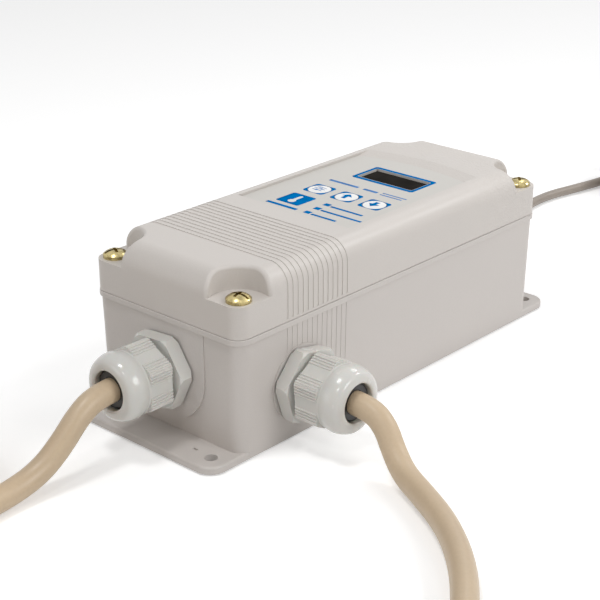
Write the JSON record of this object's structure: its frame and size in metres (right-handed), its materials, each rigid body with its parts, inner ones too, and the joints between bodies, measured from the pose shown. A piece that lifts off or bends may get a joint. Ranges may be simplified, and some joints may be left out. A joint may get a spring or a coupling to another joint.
{
  "type": "electronic temperature control",
  "caption": "Weatherproof electronic temperature control with a display window, membrane keys, clamped power and load cords and a sensor lead",
  "frame": {"origin": "Middle of the four mounting holes, on the flat back face", "axes": "+Y runs along the case towards the sensor lead and +Z points out of the back face towards the label; +X is to the right of the label"},
  "size_m": [0.2598, 0.5732, 0.0625],
  "materials": {
    "case_plastic": "fine satin moulded surface",
    "label_film": "printed film, satin",
    "gasket_rubber": "soft foam rubber",
    "zinc_screw": "yellow zinc plated",
    "brass": "turned, knurled",
    "plain_screw": "bright zinc plated",
    "window_dark": "clear window over a dark display",
    "key_white": "gloss",
    "switch_black": "matte",
    "plunger": "matte",
    "circuit_board": "green solder resist",
    "display_panel": "polarised panel",
    "ribbon": "ribbed grey insulation",
    "terminal_green": "satin",
    "socket_white": "satin",
    "fuse_glass": "glass tube with plated caps",
    "clip_metal": "tinned spring metal",
    "capacitor_sleeve": "shrunk sleeve",
    "core_steel": "varnished laminations",
    "winding_tape": "yellow tape",
    "gland_nylon": "smooth nylon",
    "gland_rubber": "smooth rubber",
    "cord_jacket": "smooth beige jacket",
    "inner_wires": "jacket and coloured conductors",
    "plug_plastic": "moulded on",
    "blade_metal": "stamped and polished",
    "lead_jacket": "grey jacket",
    "probe_steel": "drawn tube with a dark boot"
  },
  "bodies": {
    "case_group": {"base_housing": "case_plastic", "capacitor": "capacitor_sleeve", "cover_gasket": "gasket_rubber", "cover_inserts": "brass", "fuse": "fuse_glass", "fuse_clips": "clip_metal", "gland_locknuts": "gland_nylon", "gland_washers": "gland_rubber", "load_connector": "plug_plastic", "load_cord": "cord_jacket", "load_gland_body": "gland_nylon", "load_gland_seal": "gland_rubber", "load_wires": "inner_wires", "plug_blades": "blade_metal", "power_board": "circuit_board", "power_board_screws": "plain_screw", "power_cord": "cord_jacket", "power_cord_coil": "cord_jacket", "power_gland_body": "gland_nylon", "power_gland_seal": "gland_rubber", "power_plug": "plug_plastic", "power_wires": "inner_wires", "relay": "switch_black", "ribbon_header": "switch_black", "sensor_gland_body": "gland_nylon", "sensor_gland_seal": "gland_rubber", "sensor_lead": "lead_jacket", "sensor_lead_coil": "lead_jacket", "sensor_probe": "probe_steel", "sensor_socket": "socket_white", "sensor_wires": "inner_wires", "terminal_block": "terminal_green", "terminal_screws": "plain_screw", "transformer_core": "core_steel", "transformer_winding": "winding_tape"},
    "cover_group": {"cover": "case_plastic", "cover_screws": "zinc_screw", "label_overlay": "label_film", "display_window": "window_dark", "lcd_module": "display_panel", "lcd_bezel": "switch_black", "display_board": "circuit_board", "display_board_screws": "plain_screw", "key_switches": "switch_black", "ribbon_cable": "ribbon", "ribbon_plugs": "switch_black"},
    "key_set_group": {"key_set": "key_white", "key_plunger_set": "plunger"},
    "key_up_group": {"key_up": "key_white", "key_plunger_up": "plunger"},
    "key_down_group": {"key_down": "key_white", "key_plunger_down": "plunger"},
    "power_nut_group": {"power_gland_nut": "gland_nylon"},
    "load_nut_group": {"load_gland_nut": "gland_nylon"},
    "sensor_nut_group": {"sensor_gland_nut": "gland_nylon"}
  },
  "joints": [
    {"name": "cover_lift", "type": "slide", "parent": "case_group", "child": "cover_group", "axis": [0, 0, 1], "range_m": [0, 0.045]},
    {"name": "key_set_press", "type": "slide", "parent": "cover_group", "child": "key_set_group", "axis": [0, 0, -1], "range_m": [0, 0.0004], "stiffness_N_per_m": 2000},
    {"name": "key_up_press", "type": "slide", "parent": "cover_group", "child": "key_up_group", "axis": [0, 0, -1], "range_m": [0, 0.0004], "stiffness_N_per_m": 2000},
    {"name": "key_down_press", "type": "slide", "parent": "cover_group", "child": "key_down_group", "axis": [0, 0, -1], "range_m": [0, 0.0004], "stiffness_N_per_m": 2000},
    {"name": "power_nut_turn", "type": "hinge", "parent": "case_group", "child": "power_nut_group", "pos_m": [0, -0.0824, 0.0245], "axis": [0, -1, 0], "continuous": true},
    {"name": "load_nut_turn", "type": "hinge", "parent": "case_group", "child": "load_nut_group", "pos_m": [0.03405, -0.0533, 0.0196], "axis": [1, 0, 0], "continuous": true},
    {"name": "sensor_nut_turn", "type": "hinge", "parent": "case_group", "child": "sensor_nut_group", "pos_m": [0, 0.0824, 0.025], "axis": [0, 1, 0], "continuous": true}
  ]
}
